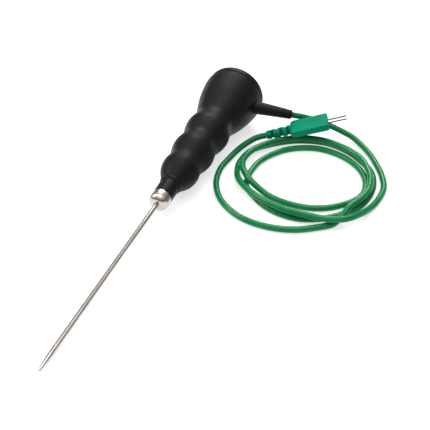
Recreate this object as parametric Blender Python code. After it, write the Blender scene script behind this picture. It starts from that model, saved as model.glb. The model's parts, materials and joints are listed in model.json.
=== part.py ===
"""Hand-held penetration temperature probe with its lead and two-pin plug, lying at rest.

World frame: metres, +Z up, origin on the table under the middle of the probe itself.
The probe's axis runs along +X, from the pointed tip up to the end cap, and leans up by the few
degrees at which the thin stem tip and the handle's bulb both touch the table.
The lead leaves the bulb's side towards -Y and lies in four loose turns.
"""

import math

import bmesh
import bpy
import numpy as np
from mathutils import Vector

MM = 0.001

# ---------------------------------------------------------------- driving dimensions, millimetres
# Places along the probe's axis are distances from the tip.
TIP_RADIUS = 0.72
STEM_RADIUS = 1.6
STEM_BORE = 1.3
TAPER_LENGTH = 14.0
TIP_SPIGOT_RADIUS = 1.0
TIP_SPIGOT_END = 18.0
TIP_BORE = 0.75
STEM_END = 160.0

FERRULE_START = 138.2
FERRULE_RIM = 142.3
FERRULE_END = 146.6
NECK_RADIUS = 6.5
NECK_BORE = 4.3
NECK_END = 172.0
LIP_START = 158.2
LIP_RADIUS = 7.4

# The handle's outside behind its lip, as (place, radius): three finger swells, then the bulb.
HANDLE_SHAPE = (
    (162.0, 7.9), (165.5, 9.75), (169.0, 11.45), (172.5, 12.35), (176.0, 12.58), (179.5, 12.15),
    (182.5, 11.9), (186.0, 12.35), (190.0, 13.4), (194.0, 14.18), (197.0, 14.28), (200.5, 13.8),
    (204.5, 13.2), (207.5, 13.15), (211.0, 13.8), (215.0, 14.75), (218.5, 15.3), (221.5, 15.38),
    (225.5, 14.75), (229.5, 14.1), (233.0, 14.2), (238.0, 15.45), (244.0, 17.25), (251.0, 19.15),
    (259.0, 20.6), (267.0, 21.6), (273.2, 21.25),
)
GRIP_END = 269.0
GRIP_BORE = 6.8
GRIP_HOLLOW = 9.0
BULB_HOLLOW = 13.3

CAP_START = 270.1
CAP_END = 275.8
CAP_EDGE = 2.7
CAP_SPIGOT = (11.2, 13.0)
CAP_SPIGOT_LENGTH = 13.6
CAP_NOTCH_WIDTH = 15.0
SEAL_RADII = (14.0, 20.5)

GAP = 0.3
SLEEVE_PLACE = 261.2
SLEEVE_ROOT = 4.6
SLEEVE_TIP = 3.15
SLEEVE_FLANGE = 5.8
SLEEVE_BORE = 2.4
LEAD_RADIUS = 2.1

WIRE_OFFSET = 0.5
WIRE_RADIUS = 0.16
CORE_RADIUS = 1.0
CORE_BORE = 0.34
SPLICE_PLACE = 230.0
SPLICE_OFFSET = 2.2
CONDUCTOR_RADIUS = 0.5

PLUG_CENTRE = (120.3, -60.8, 16.2)
PLUG_HEADING = -70.1
PLUG_PITCH = 16.0
PLUG_SIZE = (26.5, 17.1, 4.8)
BOOT_LENGTH = 17.4
# Each notch of the boot: its distance behind the plug body and the edge it is cut from.
BOOT_NOTCHES = ((1.7, -1), (3.7, 1), (6.6, -1), (9.8, 1), (13.0, -1))
PIN_RADIUS = 0.5
PIN_PITCH = 4.3
PIN_OUTSIDE = 13.0
PIN_INSIDE = 8.0

ROUND = 32
SMALL_ROUND = 16
CURVE_SAMPLES = 12
LEAD_POINTS = 78


# ---------------------------------------------------------------- outline of the grip and cap
def smooth_curve(points):
    """Centripetal Catmull-Rom curve through the points."""
    p = [np.array(q, float) for q in points]
    p = [2 * p[0] - p[1]] + p + [2 * p[-1] - p[-2]]
    curve = []
    for a, b, c, d in zip(p, p[1:], p[2:], p[3:]):
        t1 = np.linalg.norm(b - a) ** 0.5
        t2 = t1 + np.linalg.norm(c - b) ** 0.5
        t3 = t2 + np.linalg.norm(d - c) ** 0.5
        for t in np.linspace(t1, t2, CURVE_SAMPLES, endpoint=False):
            ab = a + (b - a) * t / t1
            bc = b + (c - b) * (t - t1) / (t2 - t1)
            cd = c + (d - c) * (t - t2) / (t3 - t2)
            abc = ab + (bc - ab) * t / t2
            bcd = bc + (cd - bc) * (t - t1) / (t3 - t1)
            curve.append(abc + (bcd - abc) * (t - t1) / (t2 - t1))
    curve.append(p[-2])
    return np.array(curve)


def grip_radius(place):
    """Outer radius of the handle, on the smooth curve through its shape points."""
    curve = smooth_curve(HANDLE_SHAPE)
    return float(np.interp(place, curve[:, 0], curve[:, 1]))


def grip_outline():
    """Outer outline from the lip to the rear face, closer together where it curves most."""
    points = [(LIP_START, LIP_RADIUS), (159.6, LIP_RADIUS), (160.0, 7.0), (161.4, 7.0)]
    steep = [(place, grip_radius(place)) for place in (162.0, 163.6, 165.2, 167.2, 169.6, 172.4)]
    places = np.arange(175.0, GRIP_END - 1.0, 2.5)
    return points + steep + [(p, grip_radius(p)) for p in places] + [(GRIP_END, grip_radius(GRIP_END))]


def cap_outline():
    """The end cap's outside, from its front face round the rounded edge to its flat back."""
    rim = grip_radius(CAP_END - CAP_EDGE)
    corner = [
        (CAP_END - CAP_EDGE + CAP_EDGE * math.sin(a), rim - CAP_EDGE + CAP_EDGE * math.cos(a))
        for a in np.linspace(0.0, math.pi / 2, 7)
    ]
    return [(CAP_START, grip_radius(CAP_START) - 0.3), (CAP_START + 0.3, grip_radius(CAP_START))] + corner


TILT = max(math.atan2(radius - TIP_RADIUS, place) for place, radius in grip_outline())
PROBE_REACH = max(p * math.cos(TILT) + r * math.sin(TILT) for p, r in cap_outline())
TIP_X = -0.5 * (PROBE_REACH - TIP_RADIUS * math.sin(TILT))
TIP_Z = TIP_RADIUS * math.cos(TILT)


def on_axis(place):
    """World position, in millimetres, of a point of the probe's axis."""
    return (TIP_X + place * math.cos(TILT), 0.0, TIP_Z + place * math.sin(TILT))


# ---------------------------------------------------------------- the lead's route
COIL_CENTRE = (71.1, -72.6)
# From the sleeve's mouth over the plug's far side down to the table: x, y, z.
LEAD_OUT = (
    (126.7, -45.9, 18.2),
    (129.8, -52.2, 16.5),
    (133.9, -59.6, 13.6),
    (137.1, -66.6, 10.6),
    (138.5, -73.3, 8.0),
    (138.8, -80.0, 5.8),
    (137.0, -87.8, 4.1),
    (131.7, -95.5, 2.8),
)
# Four loose turns about the coil's centre: bearing in degrees, distance out, height.
TURNS = (
    (330, 61.0, 2.1), (318, 56.6, 2.1), (300, 53.4, 2.1),
    (284, 52.1, 2.1), (268, 50.1, 2.1), (254, 49.6, 2.9), (240, 50.8, 5.5), (226, 51.6, 7.0),
    (213, 47.6, 6.9), (198, 42.6, 6.9), (180, 40.0, 6.9), (162, 38.5, 6.9), (144, 38.9, 6.7),
    (126, 40.4, 6.0), (110, 42.8, 4.5), (96, 45.0, 2.9), (80, 48.4, 2.1), (62, 51.5, 2.1),
    (44, 51.6, 2.1), (22, 53.0, 2.1),
    (0, 53.8, 2.1), (-18, 51.6, 2.1), (-36, 49.0, 2.1), (-54, 47.8, 2.1), (-72, 45.6, 2.1),
    (-90, 43.9, 2.1), (-109, 43.0, 2.1), (-126, 41.6, 2.1), (-144, 41.0, 2.1), (-166, 40.6, 2.1),
    (-186, 39.1, 2.1), (-204, 37.6, 2.1), (-222, 36.7, 2.1), (-240, 37.7, 2.1), (-258, 36.7, 2.1),
    (-272, 36.5, 2.1), (-290, 37.6, 2.1), (-308, 39.2, 2.1), (-328, 42.0, 2.1), (-346, 43.8, 2.1),
    (-360, 44.5, 2.1), (-380, 43.6, 2.1), (-400, 42.4, 2.1), (-418, 41.4, 2.1), (-436, 40.4, 2.1),
    (-450, 39.2, 2.1), (-464, 36.6, 2.1), (-480, 33.4, 2.1), (-498, 30.8, 2.1), (-516, 28.6, 2.1),
    (-534, 27.0, 2.1), (-554, 26.8, 2.1), (-572, 27.8, 2.2), (-588, 30.2, 3.3), (-600, 34.0, 5.5),
    (-611, 37.6, 7.0), (-628, 42.3, 7.0), (-645, 45.5, 6.5), (-662, 47.6, 6.0), (-682, 49.3, 5.8),
    (-701, 50.2, 6.2),
    (-720, 48.5, 7.0), (-738, 47.0, 7.0), (-756, 46.3, 7.0), (-774, 44.2, 7.0), (-792, 43.2, 7.0),
    (-810, 42.8, 7.0), (-826, 42.4, 7.0), (-839, 42.4, 6.9), (-850, 44.8, 4.9), (-860, 48.0, 2.4),
    (-872, 49.3, 2.1), (-890, 52.6, 2.1), (-908, 55.3, 2.1), (-926, 57.3, 2.1), (-946, 57.8, 2.1),
    (-966, 57.3, 2.1), (-984, 56.9, 2.1), (-1000, 56.7, 2.3), (-1015, 57.9, 3.8), (-1026, 58.3, 5.7),
)


def evenly(curve, count):
    """Points at equal distances along a curve."""
    steps = np.linalg.norm(np.diff(curve, axis=0), axis=1)
    along = np.concatenate([[0.0], np.cumsum(steps)])
    stops = np.linspace(0.0, along[-1], count)
    return np.stack([np.interp(stops, along, curve[:, k]) for k in range(3)], axis=1)


def boot_mouth():
    """Where the lead enters the plug's boot, and the boot's direction, in world millimetres."""
    heading, pitch = math.radians(PLUG_HEADING), math.radians(PLUG_PITCH)
    forward = np.array([math.cos(heading) * math.cos(pitch), math.sin(heading) * math.cos(pitch), math.sin(pitch)])
    return np.array(PLUG_CENTRE) - (PLUG_SIZE[0] / 2 + BOOT_LENGTH + GAP) * forward, forward


def lead_route():
    turns = [
        (COIL_CENTRE[0] + r * math.cos(math.radians(b)), COIL_CENTRE[1] + r * math.sin(math.radians(b)), z)
        for b, r, z in TURNS
    ]
    mouth, forward = boot_mouth()
    return list(LEAD_OUT) + turns + [tuple(mouth - 5.0 * forward), tuple(mouth)]


def lead_points():
    """The lead's centre line, evenly spaced but with its two ends meeting sleeve and boot squarely."""
    curve = smooth_curve(lead_route())
    middle = evenly(curve[CURVE_SAMPLES:-CURVE_SAMPLES], LEAD_POINTS)
    return [tuple(p) for p in (curve[0], *middle, curve[-1])]


def sleeve_line():
    """Centre line of the strain relief: square out of the bulb, then a gentle bend to its mouth."""
    x, y, z = on_axis(SLEEVE_PLACE)
    straight = [(x, -9.6, z), (x, -11.4, z), (x, -11.6, z), (x, -16.0, z), (x, -21.0, z)]
    mouth = Vector(LEAD_OUT[0]) - GAP * (Vector(LEAD_OUT[1]) - Vector(LEAD_OUT[0])).normalized()
    root, bend = Vector((x, -21.0, z)), Vector((x + 0.2, -34.0, z - 0.1))
    bent = []
    for t in (0.15, 0.3, 0.45, 0.6, 0.75, 0.9, 0.98, 1.0):
        bent.append(tuple(root * (1 - t) ** 2 + bend * 2 * t * (1 - t) + mouth * t**2))
    return straight + bent


# ---------------------------------------------------------------- materials
def material(name, colour, roughness, metallic=0.0):
    made = bpy.data.materials.new(name)
    made.use_nodes = True
    shader = made.node_tree.nodes["Principled BSDF"]
    shader.inputs["Base Color"].default_value = (*colour, 1.0)
    shader.inputs["Roughness"].default_value = roughness
    shader.inputs["Metallic"].default_value = metallic
    return made


# ---------------------------------------------------------------- making shapes
def mesh_object(name, mesh, finish, parent=None):
    made = bpy.data.objects.new(name, mesh)
    bpy.context.scene.collection.objects.link(made)
    mesh.materials.append(finish)
    made.parent = parent
    mesh.shade_smooth()
    mesh.set_sharp_from_angle(angle=math.radians(35))
    return made


def finished_mesh(name, shape):
    bmesh.ops.recalc_face_normals(shape, faces=shape.faces)
    mesh = bpy.data.meshes.new(name)
    shape.to_mesh(mesh)
    shape.free()
    return mesh


def turned(name, outline, finish, parent, closed=True, steps=ROUND, offset=(0.0, 0.0, 0.0)):
    """A shape turned about its parent's X axis from an outline of (place, radius) in millimetres.

    A closed outline makes a ring; an open one starts and ends on the axis.
    """
    shape = bmesh.new()
    corners = [shape.verts.new((place * MM, 0.0, radius * MM)) for place, radius in outline]
    ends = corners[1:] + corners[:1] if closed else corners[1:]
    edges = [shape.edges.new(pair) for pair in zip(corners, ends)]
    bmesh.ops.spin(
        shape, geom=corners + edges, cent=(0, 0, 0), axis=(1, 0, 0), angle=2 * math.pi, steps=steps, use_merge=True
    )
    bmesh.ops.remove_doubles(shape, verts=shape.verts, dist=1e-6)
    made = mesh_object(name, finished_mesh(name, shape), finish, parent)
    made.location = Vector(offset) * MM
    return made


def swept(name, line, radii, bore, finish, sides=SMALL_ROUND):
    """A tapered tube along a line of points, with a bore all the way through."""
    points = [Vector(p) * MM for p in line]
    shape = bmesh.new()
    rings = []
    for radius_set in (radii, [bore] * len(points)):
        loops = []
        for k, point in enumerate(points):
            along = (points[min(k + 1, len(points) - 1)] - points[max(k - 1, 0)]).normalized()
            across = along.cross(Vector((0, 0, 1))).normalized()
            up = across.cross(along)
            angles = [2 * math.pi * s / sides for s in range(sides)]
            loops.append(
                [shape.verts.new(point + (across * math.cos(a) + up * math.sin(a)) * radius_set[k] * MM) for a in angles]
            )
        rings.append(loops)
    outer, inner = rings
    walls = list(zip(outer, outer[1:])) + list(zip(inner, inner[1:]))
    walls += [(outer[0], inner[0]), (outer[-1], inner[-1])]
    for first, second in walls:
        for s in range(sides):
            t = (s + 1) % sides
            shape.faces.new((first[s], first[t], second[t], second[s]))
    return mesh_object(name, finished_mesh(name, shape), finish)


def wire(name, line, radius, finish, parent=None, resolution=2):
    """A round wire or cord: a bevelled curve with filled caps through points in millimetres."""
    curve = bpy.data.curves.new(name, "CURVE")
    curve.dimensions = "3D"
    curve.bevel_depth = radius * MM
    curve.bevel_resolution = resolution
    curve.use_fill_caps = True
    spline = curve.splines.new("POLY")
    spline.points.add(len(line) - 1)
    for point, place in zip(spline.points, line):
        point.co = (*[c * MM for c in place], 1.0)
    curve.materials.append(finish)
    made = bpy.data.objects.new(name, curve)
    bpy.context.scene.collection.objects.link(made)
    made.parent = parent
    return made


def block(name, low, high, finish, parent, bevel=0.0, cutter=False):
    """A box between two corners, in millimetres, with rounded edges where bevel is given."""
    shape = bmesh.new()
    bmesh.ops.create_cube(shape, size=1.0)
    for vert in shape.verts:
        vert.co = [((lo + hi) / 2 + c * (hi - lo)) * MM for c, lo, hi in zip(vert.co, low, high)]
    if bevel:
        bmesh.ops.bevel(shape, geom=shape.edges, offset=bevel * MM, segments=2, profile=0.5, affect="EDGES")
    made = mesh_object(name, finished_mesh(name, shape), finish, parent)
    if cutter:
        hide(made)
    return made


def rod(name, start, end, radius, finish, parent, sides=SMALL_ROUND):
    """A plain round bar between two points, used as a cutter or a pin."""
    a, b = Vector(start) * MM, Vector(end) * MM
    shape = bmesh.new()
    bmesh.ops.create_cone(
        shape, cap_ends=True, segments=sides, radius1=radius * MM, radius2=radius * MM, depth=(b - a).length
    )
    turn = (b - a).to_track_quat("Z", "Y").to_matrix()
    bmesh.ops.rotate(shape, matrix=turn, verts=shape.verts)
    bmesh.ops.translate(shape, vec=(a + b) / 2, verts=shape.verts)
    return mesh_object(name, finished_mesh(name, shape), finish, parent)


def hide(tool):
    tool.hide_render = True
    tool.display_type = "WIRE"


def boolean(target, tool, operation="DIFFERENCE"):
    cut = target.modifiers.new(tool.name, "BOOLEAN")
    cut.object = tool
    cut.operation = operation
    cut.solver = "EXACT"
    hide(tool)


def empty(name, location, rotation=(0.0, 0.0, 0.0), parent=None):
    made = bpy.data.objects.new(name, None)
    bpy.context.scene.collection.objects.link(made)
    made.location = Vector(location) * MM
    made.rotation_euler = rotation
    made.parent = parent
    return made


# ---------------------------------------------------------------- the measuring stem
def build_stem(probe, look):
    tip = [
        (0.0, 0.0),
        (0.0, TIP_RADIUS - 0.2),
        (0.2, TIP_RADIUS),
        (TAPER_LENGTH * 0.5, 1.2),
        (TAPER_LENGTH, STEM_RADIUS),
        (TAPER_LENGTH, TIP_SPIGOT_RADIUS),
        (TIP_SPIGOT_END, TIP_SPIGOT_RADIUS),
        (TIP_SPIGOT_END, TIP_BORE),
        (6.5, TIP_BORE),
        (6.2, 0.0),
    ]
    turned("probe_tip", tip, look["steel"], probe, closed=False, steps=SMALL_ROUND)
    start = TAPER_LENGTH + GAP
    tube = [(start, STEM_BORE), (start, STEM_RADIUS), (STEM_END, STEM_RADIUS), (STEM_END, STEM_BORE)]
    turned("stem_tube", tube, look["steel"], probe, steps=SMALL_ROUND)
    core = rod(
        "mineral_core", (TIP_SPIGOT_END + GAP, 0, 0), (STEM_END + 3.0, 0, 0), CORE_RADIUS, look["ceramic"], probe
    )
    for side in (-1, 1):
        y = side * WIRE_OFFSET
        bore = rod(f"core_bore_{side}", (10, y, 0), (STEM_END + 8.0, y, 0), CORE_BORE, look["ceramic"], probe, 8)
        boolean(core, bore)
    bead = [(8.0 + 0.42 * (1 - math.cos(a)), 0.42 * math.sin(a)) for a in np.linspace(0.0, math.pi, 7)]
    turned("thermocouple_junction", bead, look["bright_metal"], probe, closed=False, steps=8)


def build_thermo_wires(probe, look):
    for side, name in ((1, "thermo_wire_positive"), (-1, "thermo_wire_negative")):
        route = [
            (9.2, side * 0.3, 0),
            (12.0, side * 0.42, 0),
            (TIP_SPIGOT_END, side * WIRE_OFFSET, 0),
            (STEM_END + 4.0, side * WIRE_OFFSET, 0),
            (176.0, side * 0.9, 0),
            (190.0, side * 1.7, 0),
            (204.0, side * SPLICE_OFFSET, 0),
            (SPLICE_PLACE - GAP, side * SPLICE_OFFSET, 0),
        ]
        wire(name, route, WIRE_RADIUS, look["bright_metal"], probe)


# ---------------------------------------------------------------- ferrule, neck and potting
def build_neck(probe, look):
    clear = STEM_RADIUS + GAP
    nose = [
        (FERRULE_START, clear + 0.1),
        (138.8, 3.9),
        (139.6, 5.1),
        (140.8, 6.0),
        (FERRULE_RIM, 6.4),
        (FERRULE_RIM + 0.3, NECK_RADIUS),
        (FERRULE_END - 0.2, NECK_RADIUS),
        (FERRULE_END, NECK_RADIUS - 0.2),
        (FERRULE_END, NECK_BORE - GAP),
        (152.0, NECK_BORE - GAP),
        (152.0, clear),
        (FERRULE_START, clear),
    ]
    turned("ferrule", nose, look["steel"], probe)
    neck = [
        (FERRULE_END + GAP, NECK_BORE),
        (FERRULE_END + GAP, NECK_RADIUS - 0.2),
        (FERRULE_END + GAP + 0.2, NECK_RADIUS),
        (NECK_END, NECK_RADIUS),
        (NECK_END, NECK_BORE),
    ]
    turned("neck_tube", neck, look["black_plastic"], probe)
    collar = [(152.4, clear), (152.4, 3.6), (152.8, 4.0), (156.8, 4.0), (156.8, clear)]
    turned("stem_collar", collar, look["bright_metal"], probe, steps=SMALL_ROUND)
    potting = [(157.2, clear), (157.2, NECK_BORE - GAP), (171.0, NECK_BORE - GAP), (171.0, clear)]
    turned("potting_plug", potting, look["resin"], probe, steps=SMALL_ROUND)


# ---------------------------------------------------------------- grip, seal and end cap
def build_handle(probe, look):
    inner = [
        (GRIP_END, BULB_HOLLOW),
        (247.0, BULB_HOLLOW),
        (238.0, GRIP_HOLLOW),
        (NECK_END + GAP, GRIP_HOLLOW),
        (NECK_END + GAP, GRIP_BORE),
        (LIP_START, GRIP_BORE),
    ]
    grip = turned("grip", grip_outline() + inner, look["soft_black"], probe)
    hole = rod(
        "sleeve_hole",
        (SLEEVE_PLACE, -30, 0),
        (SLEEVE_PLACE, -6, 0),
        SLEEVE_ROOT + GAP,
        look["soft_black"],
        probe,
        ROUND,
    )
    boolean(grip, hole)

    slide = empty("end_cap_slide", (CAP_START, 0, 0), parent=probe)
    back = cap_outline()
    low, high = CAP_SPIGOT
    spigot_start = CAP_START - CAP_SPIGOT_LENGTH
    outside = [(p - CAP_START, r) for p, r in back]
    hollow = [(CAP_END - CAP_START - 2.4, 0.0), (CAP_END - CAP_START - 2.4, low), (spigot_start - CAP_START, low)]
    front = [(spigot_start - CAP_START, high - 0.3), (spigot_start - CAP_START + 0.5, high), (0.0, high)]
    outline = [(CAP_END - CAP_START, 0.0)] + outside[::-1] + front[::-1] + hollow[::-1]
    cap = turned("end_cap", outline, look["soft_black"], slide, closed=False)
    notch = block(
        "cap_notch",
        (-CAP_SPIGOT_LENGTH - 2.0, -high - 3.0, -CAP_NOTCH_WIDTH / 2),
        (-0.6, -5.0, CAP_NOTCH_WIDTH / 2),
        look["soft_black"],
        slide,
    )
    boolean(cap, notch)
    seal = [(-1.0, SEAL_RADII[0]), (-1.0, SEAL_RADII[1]), (-0.2, SEAL_RADII[1]), (-0.2, SEAL_RADII[0])]
    turned("cap_seal", seal, look["seal"], slide)


# ---------------------------------------------------------------- strain relief and inner wiring
def build_strain_relief(look):
    line = sleeve_line()
    visible = len(line) - 5
    taper = [SLEEVE_ROOT + (SLEEVE_TIP - SLEEVE_ROOT) * (k + 1) / (visible - 2) for k in range(visible - 2)]
    radii = [SLEEVE_FLANGE] * 2 + [SLEEVE_ROOT] * 3 + taper + [SLEEVE_TIP - 0.05, SLEEVE_TIP - 0.4]
    swept("strain_relief_sleeve", line, radii, SLEEVE_BORE, look["soft_black"])
    x, _, z = on_axis(SLEEVE_PLACE)
    inner = [(x, -2.6, z), (x, -6.0, z)] + line[:-1]
    wire("inner_lead", inner, LEAD_RADIUS, look["green"], resolution=2)


def build_wiring(probe, look):
    tie_x, tie_low, tie_high = SLEEVE_PLACE, -8.8, -6.2
    tie = rod("cable_tie", (tie_x, tie_low, 0), (tie_x, tie_high, 0), 3.1, look["nylon"], probe)
    head = block(
        "tie_head", (tie_x - 1.9, tie_low, 2.4), (tie_x + 1.9, tie_high, 5.4), look["nylon"], probe, cutter=True
    )
    boolean(tie, head, "UNION")
    opening = rod("tie_opening", (tie_x, -12, 0), (tie_x, -3, 0), LEAD_RADIUS + GAP, look["nylon"], probe)
    boolean(tie, opening)

    starts = {
        "positive": ((261.2, -2.2, 0.62), (261.1, -0.6, 0.62), (260.0, 1.0, 0.6), (256.6, 2.0, 0.4)),
        "negative": ((261.2, -2.2, -0.62), (260.6, -1.3, -0.62), (258.6, -1.2, -0.6), (255.0, -1.8, -0.4)),
    }
    for side, name in ((1, "positive"), (-1, "negative")):
        y = side * SPLICE_OFFSET
        tail = ((248.0, y, 0.0), (240.0, y, 0.0), (SPLICE_PLACE + GAP, y, 0.0))
        wire(f"conductor_{name}", starts[name] + tail, CONDUCTOR_RADIUS, look[name], probe)
        barrel = [(-4.0, 0.85), (-4.0, 1.15), (4.0, 1.15), (4.0, 0.85)]
        turned(
            f"crimp_splice_{name}",
            barrel,
            look["bright_metal"],
            probe,
            steps=12,
            offset=(SPLICE_PLACE, y, 0.0),
        )
        sleeve = [(-8.0, 1.5), (-8.0, 1.85), (8.0, 1.85), (8.0, 1.5)]
        turned(f"splice_sleeve_{name}", sleeve, look[name], probe, steps=12, offset=(SPLICE_PLACE, y, 0.0))


# ---------------------------------------------------------------- plug
def build_plug(look):
    heading, pitch = math.radians(PLUG_HEADING), math.radians(-PLUG_PITCH)
    plug = empty("plug", PLUG_CENTRE, (0.0, pitch, heading))
    long, wide, thick = (side / 2 for side in PLUG_SIZE)
    body = block("plug_body", (-long, -wide, -thick), (long, wide, thick), look["teal"], plug, bevel=0.7)
    pocket = block(
        "plug_pocket", (long - 10.0, -6.0, -1.6), (long + 2.0, 6.0, 1.6), look["teal"], plug, cutter=True
    )
    boolean(body, pocket)
    insert = block(
        "plug_insert", (long - 9.7, -5.7, -1.3), (long - 0.4, 5.7, 1.3), look["dark_plastic"], plug
    )
    for side, name in ((1, "pin_positive"), (-1, "pin_negative")):
        y = side * PIN_PITCH / 2
        bore = rod(
            f"bore_{name}", (long - 12, y, 0), (long + 3, y, 0), PIN_RADIUS + 0.2, look["dark_plastic"], plug, 12
        )
        boolean(insert, bore)
        pin = [
            (long - PIN_INSIDE, 0.0),
            (long - PIN_INSIDE, PIN_RADIUS),
            (long + PIN_OUTSIDE - 0.5, PIN_RADIUS),
            (long + PIN_OUTSIDE, PIN_RADIUS * 0.5),
            (long + PIN_OUTSIDE, 0.0),
        ]
        turned(name, pin, look["pin"], plug, closed=False, steps=12, offset=(0, y, 0))
    build_boot(plug, -long, look)


def build_boot(plug, rear, look):
    """Tapered boot whose ribs are staggered: notches cut in turn from either edge."""
    length = BOOT_LENGTH
    outline = [
        (rear - GAP, 0.0),
        (rear - GAP, 3.4),
        (rear - length * 0.5, 3.0),
        (rear - length + 0.5, 2.7),
        (rear - length, 2.3),
        (rear - length, 0.0),
    ]
    boot = turned("plug_boot", outline[::-1], look["teal"], plug, closed=False, steps=SMALL_ROUND)
    for k, (back, side) in enumerate(BOOT_NOTCHES):
        place = rear - back
        near, far = sorted((side * 1.0, side * 5.0))
        notch = block(
            f"boot_notch_{k}", (place - 0.8, near, -5.0), (place + 0.8, far, 5.0), look["teal"], plug, cutter=True
        )
        boolean(boot, notch)


def build_lead(look):
    wire("lead", lead_points(), LEAD_RADIUS, look["green"])


# ---------------------------------------------------------------- the whole object
def main():
    for old in list(bpy.data.objects):
        bpy.data.objects.remove(old, do_unlink=True)
    look = {
        "steel": material("polished_steel", (0.62, 0.60, 0.56), 0.18, 1.0),
        "soft_black": material("soft_black", (0.022, 0.022, 0.023), 0.55),
        "black_plastic": material("black_plastic", (0.02, 0.02, 0.02), 0.4),
        "seal": material("seal_rubber", (0.008, 0.008, 0.008), 0.7),
        "ceramic": material("ceramic", (0.80, 0.78, 0.72), 0.7),
        "bright_metal": material("bright_metal", (0.72, 0.71, 0.69), 0.3, 1.0),
        "resin": material("resin", (0.05, 0.05, 0.06), 0.4),
        "green": material("green_sheath", (0.005, 0.22, 0.07), 0.25),
        "positive": material("green_insulation", (0.01, 0.30, 0.10), 0.4),
        "negative": material("white_insulation", (0.80, 0.80, 0.78), 0.4),
        "nylon": material("nylon", (0.75, 0.75, 0.70), 0.4),
        "teal": material("teal_moulding", (0.005, 0.36, 0.20), 0.4),
        "dark_plastic": material("dark_green_insert", (0.005, 0.20, 0.12), 0.45),
        "pin": material("pin_metal", (0.55, 0.54, 0.52), 0.3, 1.0),
    }
    probe = empty("probe_axis", (TIP_X, 0.0, TIP_Z), (0.0, -TILT, 0.0))
    build_stem(probe, look)
    build_thermo_wires(probe, look)
    build_neck(probe, look)
    build_handle(probe, look)
    build_strain_relief(look)
    build_wiring(probe, look)
    build_plug(look)
    build_lead(look)


main()
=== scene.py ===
import json
import math

import bmesh
import bpy
import numpy as np
from mathutils import Matrix, Vector


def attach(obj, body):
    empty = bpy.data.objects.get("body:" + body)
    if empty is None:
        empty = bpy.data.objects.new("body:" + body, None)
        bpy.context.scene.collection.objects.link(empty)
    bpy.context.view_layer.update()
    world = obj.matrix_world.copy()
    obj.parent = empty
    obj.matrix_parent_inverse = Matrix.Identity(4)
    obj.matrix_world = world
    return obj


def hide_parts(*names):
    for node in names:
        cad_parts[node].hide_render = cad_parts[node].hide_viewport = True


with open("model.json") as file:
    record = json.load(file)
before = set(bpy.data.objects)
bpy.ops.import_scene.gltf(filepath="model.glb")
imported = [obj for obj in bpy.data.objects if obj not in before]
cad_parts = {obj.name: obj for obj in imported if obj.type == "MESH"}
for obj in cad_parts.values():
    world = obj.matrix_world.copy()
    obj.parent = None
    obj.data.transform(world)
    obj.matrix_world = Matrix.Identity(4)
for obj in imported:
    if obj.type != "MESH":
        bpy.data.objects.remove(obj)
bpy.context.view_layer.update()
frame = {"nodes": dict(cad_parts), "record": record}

# Pieces are drawn in millimetres, in the frame of the probe, of the plug or of the table,
# and MM turns them into the metres of the CAD model. Places along the probe are measured from its tip.
MM = 0.001
TABLE = Matrix.Scale(MM, 4)
CAP_END = 275.8
end_face = frame["record"]["mounts"][0]
AXIS = Vector(end_face["axis"]).normalized()
TILT = math.atan2(AXIS.z, AXIS.x)
TIP = Vector(end_face["pos_m"]) - CAP_END * MM * AXIS
PROBE = Matrix.Translation(TIP) @ Matrix.Rotation(-TILT, 4, "Y") @ TABLE


# ---------------------------------------------------------------- camera
CAMERA_PLACE = (-0.3811, -0.1936, 0.3133)
CAMERA_LOOK = (0.7495, 0.3044, -0.5879)
SENSOR = 36.0
FOCAL_LENGTH = 71.16
CLIP_NEAR = 0.01
CLIP_FAR = 20.0


def make_camera():
    data = bpy.data.cameras.new("camera")
    data.sensor_width = SENSOR
    data.lens = FOCAL_LENGTH
    data.clip_start = CLIP_NEAR
    data.clip_end = CLIP_FAR
    camera = bpy.data.objects.new("camera", data)
    bpy.context.scene.collection.objects.link(camera)
    camera.location = CAMERA_PLACE
    camera.rotation_euler = Vector(CAMERA_LOOK).to_track_quat("-Z", "Y").to_euler()
    bpy.context.scene.camera = camera


make_camera()


# ---------------------------------------------------------------- materials
# Most of a noise lies between these two values, so colours and roughness run from one to the other.
NOISE_LOW = 0.35
NOISE_HIGH = 0.65
STREAK_DETAIL = 4.0


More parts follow.
